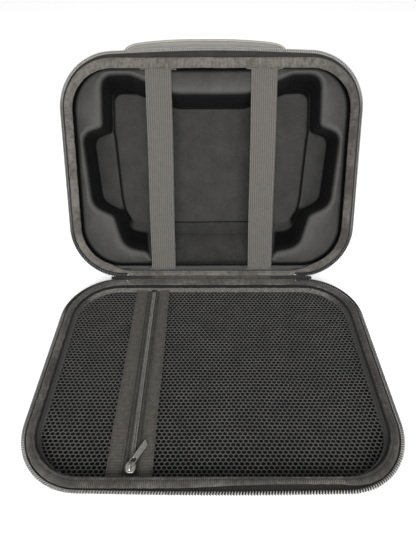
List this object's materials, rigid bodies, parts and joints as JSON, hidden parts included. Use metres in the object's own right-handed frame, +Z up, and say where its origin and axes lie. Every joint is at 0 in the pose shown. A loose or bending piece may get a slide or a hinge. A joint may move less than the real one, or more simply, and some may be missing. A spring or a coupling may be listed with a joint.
{
  "type": "launch monitor carry case",
  "caption": "Zipped semi-rigid carry case for a golf launch monitor: tilting lid with moulded recess and elastic straps, base with zipped mesh pocket, carry handle.",
  "frame": {"origin": "centre of the base half's underside, on the surface the open case stands on", "axes": "+Z up, +Y from the open front edge of the base towards the hinge and the lid, +X to the right seen from the front"},
  "size_m": [0.29, 0.3703, 0.218],
  "materials": {
    "shell_fabric": "matte",
    "recess_velour": "matte",
    "lining_fabric": "matte",
    "grosgrain": "matte",
    "zip_tape": "matte",
    "zip_coil": "satin",
    "mesh_net": "matte",
    "elastic": "matte",
    "webbing": "matte",
    "gunmetal": "satin"
  },
  "bodies": {
    "base": {"base_shell": "shell_fabric", "base_lining": "lining_fabric", "base_zip_tape": "zip_tape", "base_zip_coil": "zip_coil", "base_binding": "grosgrain", "base_hinge_flap": "shell_fabric", "mesh_edge_tape": "grosgrain", "mesh_panel_left": "mesh_net", "mesh_panel_right": "mesh_net", "pocket_zip_tape_left": "zip_tape", "pocket_zip_tape_right": "zip_tape", "pocket_binding_left": "grosgrain", "pocket_binding_right": "grosgrain", "pocket_coil_left": "zip_coil", "pocket_coil_right": "zip_coil", "pocket_front_stop": "gunmetal", "pocket_back_stop": "gunmetal"},
    "lid": {"lid_shell": "shell_fabric", "recess_tray": "recess_velour", "lid_zip_tape": "zip_tape", "lid_zip_coil": "zip_coil", "lid_binding": "grosgrain", "lid_hinge_flap": "shell_fabric", "strap_left": "elastic", "strap_right": "elastic", "handle_anchor_left": "shell_fabric", "handle_anchor_right": "shell_fabric", "handle_webbing": "webbing"},
    "pocket_slider": {"pocket_slider": "gunmetal"},
    "pocket_puller": {"pocket_puller": "gunmetal"},
    "zip_end_left": {"zip_end_tab_left": "shell_fabric"},
    "zip_slider_left": {"zip_slider_left": "gunmetal"},
    "zip_puller_left": {"zip_puller_left": "gunmetal"},
    "zip_end_right": {"zip_end_tab_right": "shell_fabric"},
    "zip_slider_right": {"zip_slider_right": "gunmetal"},
    "zip_puller_right": {"zip_puller_right": "gunmetal"}
  },
  "joints": [
    {"name": "lid_hinge", "type": "hinge", "parent": "base", "child": "lid", "pos_m": [0, 0.108, 0.02187], "axis": [-1, 0, 0], "range_deg": [-118, 0]},
    {"name": "pocket_slider_travel", "type": "slide", "parent": "base", "child": "pocket_slider", "axis": [0, 1, 0], "range_m": [0, 0.158]},
    {"name": "pocket_puller_swing", "type": "hinge", "parent": "pocket_slider", "child": "pocket_puller", "pos_m": [-0.0587, -0.0874, 0.01952], "axis": [0.8829, -0.4695, 0], "range_deg": [0, 100]},
    {"name": "zip_end_left_fold", "type": "hinge", "parent": "base", "child": "zip_end_left", "pos_m": [0, 0.108, 0.02187], "axis": [-1, 0, 0], "range_deg": [-59, 0]},
    {"name": "zip_slider_left_travel", "type": "slide", "parent": "zip_end_left", "child": "zip_slider_left", "axis": [-1, 0, 0], "range_m": [0, 0.012]},
    {"name": "zip_puller_left_swing", "type": "hinge", "parent": "zip_slider_left", "child": "zip_puller_left", "pos_m": [-0.0799, 0.11168, 0.01574], "axis": [0, 0.8572, 0.515], "range_deg": [-85, 85]},
    {"name": "zip_end_right_fold", "type": "hinge", "parent": "base", "child": "zip_end_right", "pos_m": [0, 0.108, 0.02187], "axis": [-1, 0, 0], "range_deg": [-59, 0]},
    {"name": "zip_slider_right_travel", "type": "slide", "parent": "zip_end_right", "child": "zip_slider_right", "axis": [1, 0, 0], "range_m": [0, 0.012]},
    {"name": "zip_puller_right_swing", "type": "hinge", "parent": "zip_slider_right", "child": "zip_puller_right", "pos_m": [0.0799, 0.11168, 0.01574], "axis": [0, 0.8572, 0.515], "range_deg": [-85, 85]}
  ],
  "couplings": [
    {"joint": "zip_end_left_fold", "follows": "lid_hinge", "ratio": 0.5},
    {"joint": "zip_end_right_fold", "follows": "lid_hinge", "ratio": 0.5}
  ]
}
